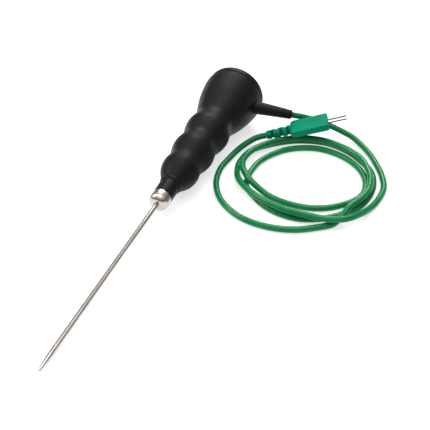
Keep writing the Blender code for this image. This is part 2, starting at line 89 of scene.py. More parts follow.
class Look:
    """A material with one Principled BSDF, and short ways to wire textures into it."""

    def __init__(self, name, base, roughness, **sockets):
        self.material = bpy.data.materials.new(name)
        self.material.use_nodes = True
        self.tree = self.material.node_tree
        self.shader = self.tree.nodes["Principled BSDF"]
        self.set("Base Color", (*base, 1.0))
        self.set("Roughness", roughness)
        for socket, value in sockets.items():
            self.set(socket.replace("_", " "), value)

    def set(self, socket, value):
        self.shader.inputs[socket].default_value = value

    def link(self, output, socket):
        self.tree.links.new(output, socket)

    def coordinates(self, source="Object", scale=(1.0, 1.0, 1.0)):
        """Object coordinates, or UVs (turns round a piece, millimetres along it), stretched."""
        place = self.tree.nodes.new("ShaderNodeTexCoord")
        mapping = self.tree.nodes.new("ShaderNodeMapping")
        mapping.inputs["Scale"].default_value = scale
        self.link(place.outputs[source], mapping.inputs["Vector"])
        return mapping.outputs["Vector"]

    def noise(self, scale, detail, vector=None):
        texture = self.tree.nodes.new("ShaderNodeTexNoise")
        texture.inputs["Scale"].default_value = scale
        texture.inputs["Detail"].default_value = detail
        self.link(vector or self.coordinates(), texture.inputs["Vector"])
        return texture.outputs["Fac"]

    def streaks(self, round_scale, along_scale):
        """Noise drawn out round a turned piece or along it."""
        return self.noise(1.0, STREAK_DETAIL, self.coordinates("UV", (round_scale, along_scale, 1.0)))

    def colour_from(self, value, first, second):
        ramp = self.tree.nodes.new("ShaderNodeValToRGB")
        ramp.color_ramp.elements[0].position = NOISE_LOW
        ramp.color_ramp.elements[1].position = NOISE_HIGH
        ramp.color_ramp.elements[0].color = (*first, 1.0)
        ramp.color_ramp.elements[1].color = (*second, 1.0)
        self.link(value, ramp.inputs["Fac"])
        self.link(ramp.outputs["Color"], self.shader.inputs["Base Color"])

    def roughness_from(self, value, low, high):
        remap = self.tree.nodes.new("ShaderNodeMapRange")
        settings = {"From Min": NOISE_LOW, "From Max": NOISE_HIGH, "To Min": low, "To Max": high}
        for socket, number in settings.items():
            remap.inputs[socket].default_value = number
        self.link(value, remap.inputs["Value"])
        self.link(remap.outputs["Result"], self.shader.inputs["Roughness"])

    def bump(self, height, strength, distance_mm):
        """Adds a bump on top of those already made."""
        made = self.tree.nodes.new("ShaderNodeBump")
        made.inputs["Strength"].default_value = strength
        made.inputs["Distance"].default_value = distance_mm * MM
        self.link(height, made.inputs["Height"])
        normal = self.shader.inputs["Normal"]
        if normal.is_linked:
            self.link(normal.links[0].from_socket, made.inputs["Normal"])
        self.link(made.outputs["Normal"], normal)


def steel_look(name, low, high, round_scale=3.0, along_scale=6.0, tint=1.0):
    """Bright metal with fine polishing marks and a faint warm drift; a tint below 1 darkens it."""
    look = Look(name, (0.62, 0.58, 0.53), 0.15, Metallic=1.0)
    marks = look.streaks(round_scale, along_scale)
    dark = (0.52 * tint, 0.485 * tint, 0.44 * tint)
    light = (0.66 * tint, 0.62 * tint, 0.57 * tint)
    look.colour_from(look.noise(60.0, detail=4.0), dark, light)
    look.roughness_from(marks, low, high)
    look.bump(marks, strength=0.04, distance_mm=0.02)
    return look.material


def soft_black_look(name="soft_touch_black"):
    """Matte soft-touch rubber: fine grain, cloudy gloss and a little polish from handling."""
    look = Look(name, (0.01, 0.01, 0.01), 0.5, Specular_IOR_Level=0.13)
    cloud = look.noise(45.0, detail=5.0)
    look.colour_from(cloud, (0.0055, 0.0055, 0.0057), (0.0085, 0.0085, 0.0087))
    look.roughness_from(look.noise(130.0, detail=5.0), 0.40, 0.52)
    look.bump(look.noise(3600.0, detail=2.0), strength=0.20, distance_mm=0.05)
    look.bump(look.noise(500.0, detail=3.0), strength=0.12, distance_mm=0.05)
    return look.material


def plastic_look(name, dark, light, low=0.3, high=0.45, grain=1800.0, strength=0.10, **sockets):
    """Moulded plastic with fine mould texture and a slight drift of colour and gloss."""
    look = Look(name, dark, low, **sockets)
    look.colour_from(look.noise(80.0, detail=4.0), dark, light)
    look.roughness_from(look.noise(260.0, detail=4.0), low, high)
    look.bump(look.noise(grain, detail=2.0), strength, distance_mm=0.04)
    return look.material


def sleeve_look(name="sleeve_rubber"):
    """Strain-relief rubber with fine streaks drawn out along it."""
    look = Look(name, (0.01, 0.01, 0.01), 0.5, Specular_IOR_Level=0.14)
    streaks = look.streaks(26.0, 0.12)
    look.colour_from(streaks, (0.0050, 0.0050, 0.0052), (0.0110, 0.0110, 0.0113))
    look.roughness_from(look.noise(300.0, detail=4.0), 0.42, 0.56)
    look.bump(streaks, strength=0.25, distance_mm=0.05)
    look.bump(look.noise(2600.0, detail=2.0), strength=0.15, distance_mm=0.04)
    return look.material


def sheath_look(name="green_sheath"):
    """Glossy green sheath: colour and gloss drift along it, with faint lengthwise drawing marks."""
    look = Look(name, (0.0, 0.16, 0.05), 0.2, Specular_IOR_Level=0.28)
    look.colour_from(look.streaks(3.0, 0.05), (0.0, 0.160, 0.044), (0.0, 0.215, 0.064))
    look.roughness_from(look.streaks(6.0, 0.16), 0.15, 0.26)
    look.bump(look.streaks(4.0, 0.20), strength=0.15, distance_mm=0.05)
    return look.material


STEEL = steel_look("polished_steel", 0.20, 0.30)
STEM_STEEL = steel_look("stem_steel", 0.16, 0.24, round_scale=9.0, along_scale=0.04)
PIN_STEEL = steel_look("pin_nickel", 0.50, 0.62, tint=0.24)
SOFT_BLACK = soft_black_look()
BLACK_PLASTIC = plastic_look(
    "black_plastic",
    (0.0060, 0.0060, 0.0062),
    (0.0095, 0.0095, 0.0097),
    low=0.36,
    high=0.48,
    Specular_IOR_Level=0.16,
)
SEAL_RUBBER = plastic_look("seal_rubber", (0.003, 0.003, 0.003), (0.006, 0.006, 0.006), 0.6, 0.75)
SLEEVE_RUBBER = sleeve_look()
SHEATH = sheath_look()
TEAL = plastic_look(
    "teal_moulding",
    (0.0, 0.205, 0.108),
    (0.0, 0.245, 0.132),
    low=0.34,
    high=0.46,
    grain=2400.0,
    Specular_IOR_Level=0.06,
)
DARK_TEAL = plastic_look("dark_green_insert", (0.001, 0.10, 0.06), (0.002, 0.14, 0.085))
BRIGHT_METAL = steel_look("bright_metal", 0.26, 0.40)
CERAMIC = plastic_look("ceramic", (0.72, 0.70, 0.64), (0.84, 0.82, 0.77), 0.6, 0.8, grain=3000.0)
RESIN = plastic_look("resin", (0.035, 0.035, 0.042), (0.055, 0.055, 0.062), 0.25, 0.4)
NYLON = plastic_look("nylon", (0.66, 0.66, 0.60), (0.78, 0.78, 0.73), 0.35, 0.5)
GREEN_INSULATION = plastic_look("green_insulation", (0.008, 0.26, 0.085), (0.014, 0.34, 0.12))
WHITE_INSULATION = plastic_look("white_insulation", (0.72, 0.72, 0.69), (0.82, 0.82, 0.79))


# ---------------------------------------------------------------- shape helpers
QUARTER_TURN = math.pi / 2
MERGE_DISTANCE = 1e-4
FILLET_STEPS = 5
# A step too small to see, which keeps neighbouring faces from coinciding.
HAIR = 0.02
# How far a cutting shape reaches past the face that it opens.
CUT_PAST = 2.0


def add_piece(name, mesh, look, replaces, body="probe", sharp=32.0):
    """Puts a mesh into the scene as a piece of the object, with edges above an angle kept sharp."""
    mesh.materials.clear()
    mesh.materials.append(look)
    mesh.shade_smooth()
    mesh.set_sharp_from_angle(angle=math.radians(sharp))
    piece = bpy.data.objects.new(name, mesh)
    bpy.context.scene.collection.objects.link(piece)
    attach(piece, body)
    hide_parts(*replaces)
    return piece


def ring_mesh(name, rings, frame_matrix, closed=False):
    """A skin over rings of points, with UVs of turns round and millimetres along.

    A closed one joins its last ring to its first; an open one has its ends filled.
    """
    shape = bmesh.new()
    uv = shape.loops.layers.uv.new("UVMap")
    loops = [[shape.verts.new(point) for point in ring] for ring in rings]
    steps = [(Vector(b[0]) - Vector(a[0])).length for a, b in zip(rings, rings[1:] + rings[:1])]
    along = np.concatenate([[0.0], np.cumsum(steps)])
    count = len(rings[0])
    for k in range(len(rings) if closed else len(rings) - 1):
        near, far = loops[k], loops[(k + 1) % len(loops)]
        for s in range(count):
            t = (s + 1) % count
            face = shape.faces.new((near[s], near[t], far[t], far[s]))
            corners = ((s, along[k]), (s + 1, along[k]), (s + 1, along[k + 1]), (s, along[k + 1]))
            for corner, (u, v) in zip(face.loops, corners):
                corner[uv].uv = (u / count, v)
    if not closed:
        shape.faces.new(loops[0][::-1])
        shape.faces.new(loops[-1])
    bmesh.ops.remove_doubles(shape, verts=shape.verts, dist=MERGE_DISTANCE)
    bmesh.ops.recalc_face_normals(shape, faces=shape.faces)
    mesh = bpy.data.meshes.new(name)
    shape.to_mesh(mesh)
    shape.free()
    mesh.transform(frame_matrix)
    mesh.update()
    return mesh


def bend_point(start, corner, end, t):
    """The point a share t of the way along a curve that leaves start toward a corner and ends at end."""
    return start * (1 - t) ** 2 + corner * 2 * t * (1 - t) + end * t**2


def rounded(corners):
    """An outline through (place, radius, fillet) corners, each corner rounded over its fillet length."""
    outline = []
    for k, (place, radius, fillet) in enumerate(corners):
        here = Vector((place, radius))
        if not fillet:
            outline.append(tuple(here))
            continue
        back = Vector(corners[k - 1][:2]) - here
        ahead = Vector(corners[(k + 1) % len(corners)][:2]) - here
        start = here + back.normalized() * fillet
        end = here + ahead.normalized() * fillet
        for t in np.linspace(0.0, 1.0, FILLET_STEPS + 1):
            outline.append(tuple(bend_point(start, here, end, t)))
    return outline


def turned_mesh(name, outline, frame_matrix=PROBE, steps=128, closed=False, centre=(0.0, 0.0)):
    """A shape turned about the X axis of a frame, from an outline of (place, radius)."""
    angles = [2 * math.pi * k / steps for k in range(steps)]
    rings = [
        [(place, centre[0] + radius * math.cos(a), centre[1] + radius * math.sin(a)) for a in angles]
        for place, radius in outline
    ]
    return ring_mesh(name, rings, frame_matrix, closed)


def tube_rings(line, radii, sides):
    """Rings of points round a line, with the radius given at each point of the line."""
    points = [Vector(point) for point in line]
    angles = [2 * math.pi * s / sides for s in range(sides)]
    across = None
    rings = []
    for k, point in enumerate(points):
        along = (points[min(k + 1, len(points) - 1)] - points[max(k - 1, 0)]).normalized()
        if across is None:
            across = along.cross(Vector((0, 0, 1)))
        across = (across - along * across.dot(along)).normalized()
        up = across.cross(along)
        rings.append([point + (across * math.cos(a) + up * math.sin(a)) * radii[k] for a in angles])
    return rings


def box_mesh(name, low, high, frame_matrix, bevel=0.0):
    """A box between two opposite corners."""
    shape = bmesh.new()
    bmesh.ops.create_cube(shape, size=1.0)
    for vert in shape.verts:
        vert.co = [(lo + hi) / 2 + c * (hi - lo) for c, lo, hi in zip(vert.co, low, high)]
    if bevel:
        bmesh.ops.bevel(shape, geom=shape.edges, offset=bevel, segments=4, profile=0.5, affect="EDGES")
    mesh = bpy.data.meshes.new(name)
    shape.to_mesh(mesh)
    shape.free()
    mesh.transform(frame_matrix)
    return mesh


def cut(mesh, tools):
    """The mesh with each of the tool meshes cut out of it."""
    target = bpy.data.objects.new("cut_target", mesh)
    bpy.context.scene.collection.objects.link(target)
    for k, tool_mesh in enumerate(tools):
        tool = bpy.data.objects.new(f"cut_tool_{k}", tool_mesh)
        bpy.context.scene.collection.objects.link(tool)
        modifier = target.modifiers.new("cut", "BOOLEAN")
        modifier.object = tool
        modifier.solver = "EXACT"
    graph = bpy.context.evaluated_depsgraph_get()
    result = bpy.data.meshes.new_from_object(target.evaluated_get(graph))
    for modifier in list(target.modifiers):
        bpy.data.objects.remove(modifier.object, do_unlink=True)
    bpy.data.objects.remove(target, do_unlink=True)
    return result


# ---------------------------------------------------------------- lead, on the CAD model's route
LEAD_RADIUS = 2.1
LEAD_SIDES = 24
# Length of the lead that runs straight into the boot.
LEAD_STRAIGHT = 5.0
# Clearance that the CAD model leaves between pieces that would touch.
GAP = 0.3
PLUG_CENTRE = (120.3, -60.8, 16.2)
PLUG_HEADING = math.radians(-70.1)
PLUG_PITCH = math.radians(16.0)
PLUG_SIZE = (26.5, 17.1, 4.8)
BOOT_LENGTH = 17.4
PLUG = (
    TABLE
    @ Matrix.Translation(PLUG_CENTRE)
    @ Matrix.Rotation(PLUG_HEADING, 4, "Z")
    @ Matrix.Rotation(-PLUG_PITCH, 4, "Y")
)

COIL_CENTRE = (71.1, -72.6)
# From the sleeve's mouth over the plug's far side down to the table: x, y, z.
LEAD_OUT = (
    (126.7, -45.9, 18.2),
    (129.8, -52.2, 16.5),
    (133.9, -59.6, 13.6),
    (137.1, -66.6, 10.6),
    (138.5, -73.3, 8.0),
    (138.8, -80.0, 5.8),
    (137.0, -87.8, 4.1),
    (131.7, -95.5, 2.8),
)
# Loose turns about the coil's centre: bearing in degrees, distance out, height.
TURNS = (
    (330, 61.0, 2.1), (318, 56.6, 2.1), (300, 53.4, 2.1),
    (284, 52.1, 2.1), (268, 50.1, 2.1), (254, 49.6, 2.9), (240, 50.8, 5.5), (226, 51.6, 7.0),
    (213, 47.6, 6.9), (198, 42.6, 6.9), (180, 40.0, 6.9), (162, 38.5, 6.9), (144, 38.9, 6.7),
    (126, 40.4, 6.0), (110, 42.8, 4.5), (96, 45.0, 2.9), (80, 48.4, 2.1), (62, 51.5, 2.1),
    (44, 51.6, 2.1), (22, 53.0, 2.1),
    (0, 53.8, 2.1), (-18, 51.6, 2.1), (-36, 49.0, 2.1), (-54, 47.8, 2.1), (-72, 45.6, 2.1),
    (-90, 43.9, 2.1), (-109, 43.0, 2.1), (-126, 41.6, 2.1), (-144, 41.0, 2.1), (-166, 40.6, 2.1),
    (-186, 39.1, 2.1), (-204, 37.6, 2.1), (-222, 36.7, 2.1), (-240, 37.7, 2.1), (-258, 36.7, 2.1),
    (-272, 36.5, 2.1), (-290, 37.6, 2.1), (-308, 39.2, 2.1), (-328, 42.0, 2.1), (-346, 43.8, 2.1),
    (-360, 44.5, 2.1), (-380, 43.6, 2.1), (-400, 42.4, 2.1), (-418, 41.4, 2.1), (-436, 40.4, 2.1),
    (-450, 39.2, 2.1), (-464, 36.6, 2.1), (-480, 33.4, 2.1), (-498, 30.8, 2.1), (-516, 28.6, 2.1),
    (-534, 27.0, 2.1), (-554, 26.8, 2.1), (-572, 27.8, 2.2), (-588, 30.2, 3.3), (-600, 34.0, 5.5),
    (-611, 37.6, 7.0), (-628, 42.3, 7.0), (-645, 45.5, 6.5), (-662, 47.6, 6.0), (-682, 49.3, 5.8),
    (-701, 50.2, 6.2),
    (-720, 48.5, 7.0), (-738, 47.0, 7.0), (-756, 46.3, 7.0), (-774, 44.2, 7.0), (-792, 43.2, 7.0),
    (-810, 42.8, 7.0), (-826, 42.4, 7.0), (-839, 42.4, 6.9), (-850, 44.8, 4.9), (-860, 48.0, 2.4),
    (-872, 49.3, 2.1), (-890, 52.6, 2.1), (-908, 55.3, 2.1), (-926, 57.3, 2.1), (-946, 57.8, 2.1),
    (-966, 57.3, 2.1), (-984, 56.9, 2.1), (-1000, 56.7, 2.3), (-1015, 57.9, 3.8), (-1026, 58.3, 5.7),
)
CURVE_SAMPLES = 16


def smooth_curve(points):
    """Centripetal Catmull-Rom curve through the points."""
    p = [np.array(q, float) for q in points]
    p = [2 * p[0] - p[1]] + p + [2 * p[-1] - p[-2]]
    curve = []
    for a, b, c, d in zip(p, p[1:], p[2:], p[3:]):
        t1 = np.linalg.norm(b - a) ** 0.5
        t2 = t1 + np.linalg.norm(c - b) ** 0.5
        t3 = t2 + np.linalg.norm(d - c) ** 0.5
        for t in np.linspace(t1, t2, CURVE_SAMPLES, endpoint=False):
            ab = a + (b - a) * t / t1
            bc = b + (c - b) * (t - t1) / (t2 - t1)
            cd = c + (d - c) * (t - t2) / (t3 - t2)
            abc = ab + (bc - ab) * t / t2
            bcd = bc + (cd - bc) * (t - t1) / (t3 - t1)
            curve.append(abc + (bcd - abc) * (t - t1) / (t2 - t1))
    curve.append(p[-2])
    return np.array(curve)


def lead_route():
    """Points from the sleeve's mouth, round the coil and into the rear of the boot."""
    turns = []
    for bearing, out, height in TURNS:
        angle = math.radians(bearing)
        x = COIL_CENTRE[0] + out * math.cos(angle)
        y = COIL_CENTRE[1] + out * math.sin(angle)
        turns.append((x, y, height))
    rear = -PLUG_SIZE[0] / 2 - BOOT_LENGTH - GAP
    end = [tuple(PLUG @ Vector((rear - back, 0.0, 0.0)) / MM) for back in (LEAD_STRAIGHT, 0.0)]
    return list(LEAD_OUT) + turns + end


def make_lead(line):
    """The lead's sheath as one tube along its centre line."""
    rings = tube_rings(line, [LEAD_RADIUS] * len(line), LEAD_SIDES)
    mesh = ring_mesh("green_lead", rings, TABLE)
    return add_piece("green_lead", mesh, SHEATH, ("lead",), sharp=60.0)


lead_line = smooth_curve(lead_route())
lead = make_lead(lead_line)


# ---------------------------------------------------------------- strain relief
SLEEVE_PLACE = 261.2
SLEEVE_ROOT = 4.6
SLEEVE_TIP = 3.15
SLEEVE_FLANGE = 5.8
SLEEVE_BORE = 2.4
SLEEVE_SIDES = 48
# Places across the probe where the sleeve still runs straight; its flange holds the first two.
SLEEVE_STRAIGHT = (-9.6, -11.4, -11.5, -14.0, -16.0, -18.5, -21.0)
FLANGE_POINTS = 2
# The corner that the bent part heads for: how far forward, its place across the probe, how far down.
SLEEVE_CORNER = (0.2, -34.0, 0.1)
# The share of the bend at which its first ring lies.
SLEEVE_BEND_FROM = 0.05
SLEEVE_BEND_STEPS = 36
# The rounded rim of the mouth: distance back from the mouth, and how far the radius has fallen.
SLEEVE_RIM = ((0.55, 0.0), (0.30, 0.08), (0.10, 0.28), (0.0, 0.6))


def make_sleeve():
    """Tapered sleeve: square out of the bulb, a gentle bend, a rounded rim and an open mouth."""
    x, _, z = PROBE @ Vector((SLEEVE_PLACE, 0.0, 0.0)) / MM
    heading = (Vector(LEAD_OUT[1]) - Vector(LEAD_OUT[0])).normalized()
    mouth = Vector(LEAD_OUT[0]) - GAP * heading
    straight = [Vector((x, y, z)) for y in SLEEVE_STRAIGHT]
    forward, across, down = SLEEVE_CORNER
    corner = Vector((x + forward, across, z - down))
    shares = np.linspace(SLEEVE_BEND_FROM, 1.0, SLEEVE_BEND_STEPS)
    line = straight + [bend_point(straight[-1], corner, mouth, t) for t in shares]
    taper = np.clip((np.arange(len(line)) - len(straight) + 1) / SLEEVE_BEND_STEPS, 0.0, 1.0)
    radii = list(SLEEVE_ROOT + (SLEEVE_TIP - SLEEVE_ROOT) * taper)
    radii[:FLANGE_POINTS] = [SLEEVE_FLANGE] * FLANGE_POINTS
    along = (line[-1] - line[-2]).normalized()
    rim = [line[-1] - along * back for back, _ in SLEEVE_RIM]
    line = line[:-1] + rim
    radii = radii[:-1] + [SLEEVE_TIP - fall for _, fall in SLEEVE_RIM]
    outside = tube_rings(line, radii, SLEEVE_SIDES)
    bore = tube_rings(line, [SLEEVE_BORE] * len(line), SLEEVE_SIDES)[::-1]
    mesh = ring_mesh("strain_relief", outside + bore, TABLE, closed=True)
    add_piece("strain_relief", mesh, SLEEVE_RUBBER, ("strain_relief_sleeve",))


# ---------------------------------------------------------------- stem, ferrule and neck
TIP_RADIUS = 0.72
STEM_RADIUS = 1.6
STEM_BORE = 1.3
STEM_SIDES = 64
BROKEN_EDGE = 0.06
# The stem's blunt nose, as (place, radius), and the shares of the taper between which its rings lie.
BLUNT_NOSE = ((0.0, 0.0), (0.0, 0.30), (0.06, 0.50), (0.20, 0.64), (0.45, TIP_RADIUS + 0.03))
TAPER_LENGTH = 14.0
TAPER_POWER = 1.1
TAPER_SHARES = (0.08, 0.985)
TAPER_RINGS = 14
SPIGOT_RADIUS = 1.0
SPIGOT_LENGTH = 4.0
SHEATH_GAP = 0.04
SHEATH_RINGS_FROM = 20.0
SHEATH_RINGS = 15
STEM_END = 160.0
STEM_CLEARANCE = 0.12
FERRULE_START = 138.2
FERRULE_RIM = 142.3
FERRULE_END = 146.6
FERRULE_TAIL_END = 152.0
DOME_RINGS = 16
NECK_RADIUS = 6.5
NECK_BORE = 4.3
NECK_GAP = 0.12
NECK_END = 172.0


def taper_radius(share):
    """Radius of the stem's point, a share of the way along its taper."""
    return TIP_RADIUS + (STEM_RADIUS - TIP_RADIUS) * math.sin(share * QUARTER_TURN) ** TAPER_POWER


def make_stem():
    """Blunt point with a spigot behind it, and the long sheath that the spigot goes into."""
    taper = [(TAPER_LENGTH * t, taper_radius(t)) for t in np.linspace(*TAPER_SHARES, TAPER_RINGS)]
    spigot_end = TAPER_LENGTH + SPIGOT_LENGTH
    spigot = [
        (TAPER_LENGTH, STEM_RADIUS - BROKEN_EDGE),
        (TAPER_LENGTH, SPIGOT_RADIUS),
        (spigot_end, SPIGOT_RADIUS),
        (spigot_end, 0.0),
    ]
    tip = turned_mesh("stem_point", list(BLUNT_NOSE) + taper + spigot, steps=STEM_SIDES)
    add_piece("stem_point", tip, STEM_STEEL, ("probe_tip",))
    start = TAPER_LENGTH + SHEATH_GAP
    sheath = [
        (start, STEM_BORE),
        (start, STEM_RADIUS - BROKEN_EDGE),
        (start + BROKEN_EDGE, STEM_RADIUS),
    ]
    sheath += [(place, STEM_RADIUS) for place in np.linspace(SHEATH_RINGS_FROM, STEM_END, SHEATH_RINGS)]
    sheath.append((STEM_END, STEM_BORE))
    tube = turned_mesh("stem_sheath", sheath, steps=STEM_SIDES, closed=True)
    add_piece("stem_sheath", tube, STEM_STEEL, ("stem_tube",))


def make_ferrule():
    """Polished collar: a domed nose, a crisp rim and a short cylinder with broken edges."""
    hole = STEM_RADIUS + STEM_CLEARANCE
    nose = FERRULE_RIM - FERRULE_START
    low = hole + 0.5
    high = NECK_RADIUS - 0.1
    dome = [
        (FERRULE_START + nose * (1.0 - math.cos(a)), low + (high - low) * math.sin(a))
        for a in np.linspace(0.0, QUARTER_TURN, DOME_RINGS)
    ]
    front = [(FERRULE_START - HAIR, hole), (FERRULE_START - HAIR, hole + 0.45)]
    rear = rounded([
        (FERRULE_RIM + 0.3, NECK_RADIUS - HAIR, 0.1),
        (FERRULE_END - HAIR, NECK_RADIUS, 0.25),
        (FERRULE_END - HAIR, NECK_BORE, 0.0),
        (FERRULE_TAIL_END, NECK_BORE - GAP, 0.0),
        (FERRULE_TAIL_END, hole, 0.0),
    ])
    mesh = turned_mesh("ferrule_collar", front + dome + rear, closed=True)
    add_piece("ferrule_collar", mesh, STEEL, ("ferrule",), sharp=25.0)


def make_neck():
    """Plain tube between ferrule and grip, with its front edge broken."""
    start = FERRULE_END + NECK_GAP
    outline = rounded([
        (start, NECK_BORE, 0.0),
        (start, NECK_RADIUS - HAIR, 0.2),
        (NECK_END, NECK_RADIUS - HAIR, 0.0),
        (NECK_END, NECK_BORE, 0.0),
    ])
    mesh = turned_mesh("neck_sleeve", outline, closed=True)
    add_piece("neck_sleeve", mesh, BLACK_PLASTIC, ("neck_tube",))


# ---------------------------------------------------------------- grip, seal and end cap
# The handle's outside behind its lip, as (place, radius): three finger swells, then the bulb.
HANDLE_SHAPE = (
    (162.0, 7.9), (165.5, 9.75), (169.0, 11.45), (172.5, 12.35), (176.0, 12.58), (179.5, 12.15),
    (182.5, 11.9), (186.0, 12.35), (190.0, 13.4), (194.0, 14.18), (197.0, 14.28), (200.5, 13.8),
    (204.5, 13.2), (207.5, 13.15), (211.0, 13.8), (215.0, 14.75), (218.5, 15.3), (221.5, 15.38),
    (225.5, 14.75), (229.5, 14.1), (233.0, 14.2), (238.0, 15.45), (244.0, 17.25), (251.0, 19.15),
    (259.0, 20.6), (267.0, 21.6), (273.2, 21.25),
)
HANDLE_CURVE = smooth_curve(HANDLE_SHAPE)
HANDLE_START = HANDLE_SHAPE[0][0]
HANDLE_RINGS = 170
HANDLE_SIDES = 160
LIP_START = 158.2
LIP_RADIUS = 7.3
LIP_END = 161.2
GRIP_END = 269.0
# Closer on the neck than in the CAD model, so that no bright gap shows inside the lip.
GRIP_BORE = 6.56
GRIP_HOLLOW = 9.0
BULB_HOLLOW = 13.3
# The bulb's hollow narrows to the grip's between these two places.
HOLLOW_NARROWS = (247.0, 238.0)
SLEEVE_HOLE_RADIUS = SLEEVE_ROOT + 0.18
SLEEVE_HOLE_REACH = (6.0, 30.0)
SLEEVE_HOLE_SIDES = 64
CAP_START = 270.1
CAP_EDGE = 2.7
CAP_EDGE_RINGS = 20
CAP_THICKNESS = 2.4
CAP_SPIGOT = (11.2, 13.0)
CAP_SPIGOT_LENGTH = 13.6
# The notch for the lead: its width, the places across the probe that it spans, and the collar it leaves.
CAP_NOTCH_WIDTH = 15.0
CAP_NOTCH_ACROSS = (-16.0, -5.0)
CAP_NOTCH_COLLAR = 0.6
# A shallow ring groove in the cap's back: its depth, its floor's radii and the slope of its walls.
GROOVE_DEPTH = 0.35
GROOVE_RADII = (13.9, 14.4)
GROOVE_SLOPE = 0.2
# The seal ring: how far its faces lie in front of the cap, and its radii.
SEAL_FACES = (0.95, 0.25)
SEAL_RADII = (14.0, 20.4)


def grip_radius(place):
    """Outer radius of the handle, on the smooth curve through its shape points."""
    return float(np.interp(place, HANDLE_CURVE[:, 0], HANDLE_CURVE[:, 1]))


def make_grip():
    """Hollow handle with a small lip in front, and a hole in its side for the sleeve."""
    lip = rounded([
        (LIP_START, GRIP_BORE, 0.0),
        (LIP_START + 0.8, LIP_RADIUS, 0.5),
        (LIP_START + 1.8, LIP_RADIUS, 0.4),
        (LIP_END, LIP_RADIUS + 0.05, 0.5),
    ])
    places = np.linspace(HANDLE_START, GRIP_END - 0.5, HANDLE_RINGS)
    swells = [(place, grip_radius(place)) for place in places]
    inner_start = NECK_END + GAP
    rear = rounded([
        (GRIP_END, swells[-1][1], 0.4),
        (GRIP_END, BULB_HOLLOW, 0.3),
        (HOLLOW_NARROWS[0], BULB_HOLLOW, 0.0),
        (HOLLOW_NARROWS[1], GRIP_HOLLOW, 0.0),
        (inner_start, GRIP_HOLLOW, 0.0),
        (inner_start, GRIP_BORE, 0.0),
    ])
    body = turned_mesh("handle_grip", lip + swells + rear, steps=HANDLE_SIDES, closed=True)
    inside, outside = SLEEVE_HOLE_REACH
    hole = turned_mesh(
        "sleeve_hole",
        [(inside, 0.0), (inside, SLEEVE_HOLE_RADIUS), (outside, SLEEVE_HOLE_RADIUS), (outside, 0.0)],
        PROBE @ Matrix.Translation((SLEEVE_PLACE, 0.0, 0.0)) @ Matrix.Rotation(-QUARTER_TURN, 4, "Z"),
        steps=SLEEVE_HOLE_SIDES,
    )
    mesh = cut(body, [hole])
    mesh.name = "handle_grip"
    add_piece("handle_grip", mesh, SOFT_BLACK, ("grip",), sharp=38.0)


def make_end_cap():
    """Cap with a rounded edge and a ring groove in its back, on a spigot notched for the lead."""
    rim = grip_radius(CAP_END - CAP_EDGE)
    low, high = CAP_SPIGOT
    spigot_start = CAP_START - CAP_SPIGOT_LENGTH
    front = rounded([
        (CAP_END - CAP_THICKNESS, 0.0, 0.0),
        (CAP_END - CAP_THICKNESS, low, 0.0),
        (spigot_start, low, 0.2),
        (spigot_start, high, 0.4),
        (CAP_START, high, 0.0),
        (CAP_START, grip_radius(CAP_START) - 0.05, 0.35),
    ])
    edge = [
        (CAP_END - CAP_EDGE + CAP_EDGE * math.sin(a), rim - CAP_EDGE + CAP_EDGE * math.cos(a))
        for a in np.linspace(0.0, QUARTER_TURN, CAP_EDGE_RINGS)
    ]
    groove_floor = CAP_END - GROOVE_DEPTH
    back = rounded([
        (CAP_END, GROOVE_RADII[1] + GROOVE_SLOPE, 0.15),
        (groove_floor, GROOVE_RADII[1], 0.15),
        (groove_floor, GROOVE_RADII[0], 0.15),
        (CAP_END, GROOVE_RADII[0] - GROOVE_SLOPE, 0.15),
        (CAP_END, 0.0, 0.0),
    ])
    body = turned_mesh("rear_cap", front + edge + back, steps=HANDLE_SIDES)
    outer, inner = CAP_NOTCH_ACROSS
    notch = box_mesh(
        "cap_notch",
        (spigot_start - CUT_PAST, outer, -CAP_NOTCH_WIDTH / 2),
        (CAP_START - CAP_NOTCH_COLLAR, inner, CAP_NOTCH_WIDTH / 2),
        PROBE,
    )
    mesh = cut(body, [notch])
    mesh.name = "rear_cap"
    add_piece("rear_cap", mesh, SOFT_BLACK, ("end_cap",), body="cap")


def make_seal():
    """The rubber ring in the groove between grip and cap."""
    front, back = (CAP_START - face for face in SEAL_FACES)
    low, high = SEAL_RADII
    ring = rounded([
        (front, low, 0.2),
        (front, high, 0.35),
        (back, high, 0.35),
        (back, low, 0.2),
    ])
    mesh = turned_mesh("cap_gasket", ring, closed=True)
    add_piece("cap_gasket", mesh, SEAL_RUBBER, ("cap_seal",), body="cap")


# ---------------------------------------------------------------- plug
LONG, WIDE, THICK = (side / 2 for side in PLUG_SIZE)
REAR_CORNER = 2.6
FRONT_CORNER = 0.9
CORNER_POINTS = 9
PLUG_EDGE = 0.7
EDGE_POINTS = 7
# Half of the parting line round the plug's middle: height and depth of its points.
PARTING_LINE = ((0.08, 0.09), (0.16, 0.0))
# Over this length at its rear the plug gets this much narrower and thinner.
SHOULDER_LENGTH = 5.0
SHOULDER_NARROWER = 0.06
SHOULDER_THINNER = 0.16
# The pocket in the plug's front and the insert in it: depth behind the front, half width, half height.
POCKET = (10.0, 6.0, 1.6)
INSERT = (9.7, 5.75, 1.35)
INSERT_SETBACK = 0.25
PIN_PITCH = 4.3
PIN_RADIUS = 0.5
PIN_HOLE_RADIUS = 0.72
PIN_OUTSIDE = 13.0
PIN_INSIDE = 8.0
# The holes' cutting shape starts this far behind the plug's front, past the insert's rear.
PIN_HOLE_DEPTH = 12.0
PIN_SIDES = 32


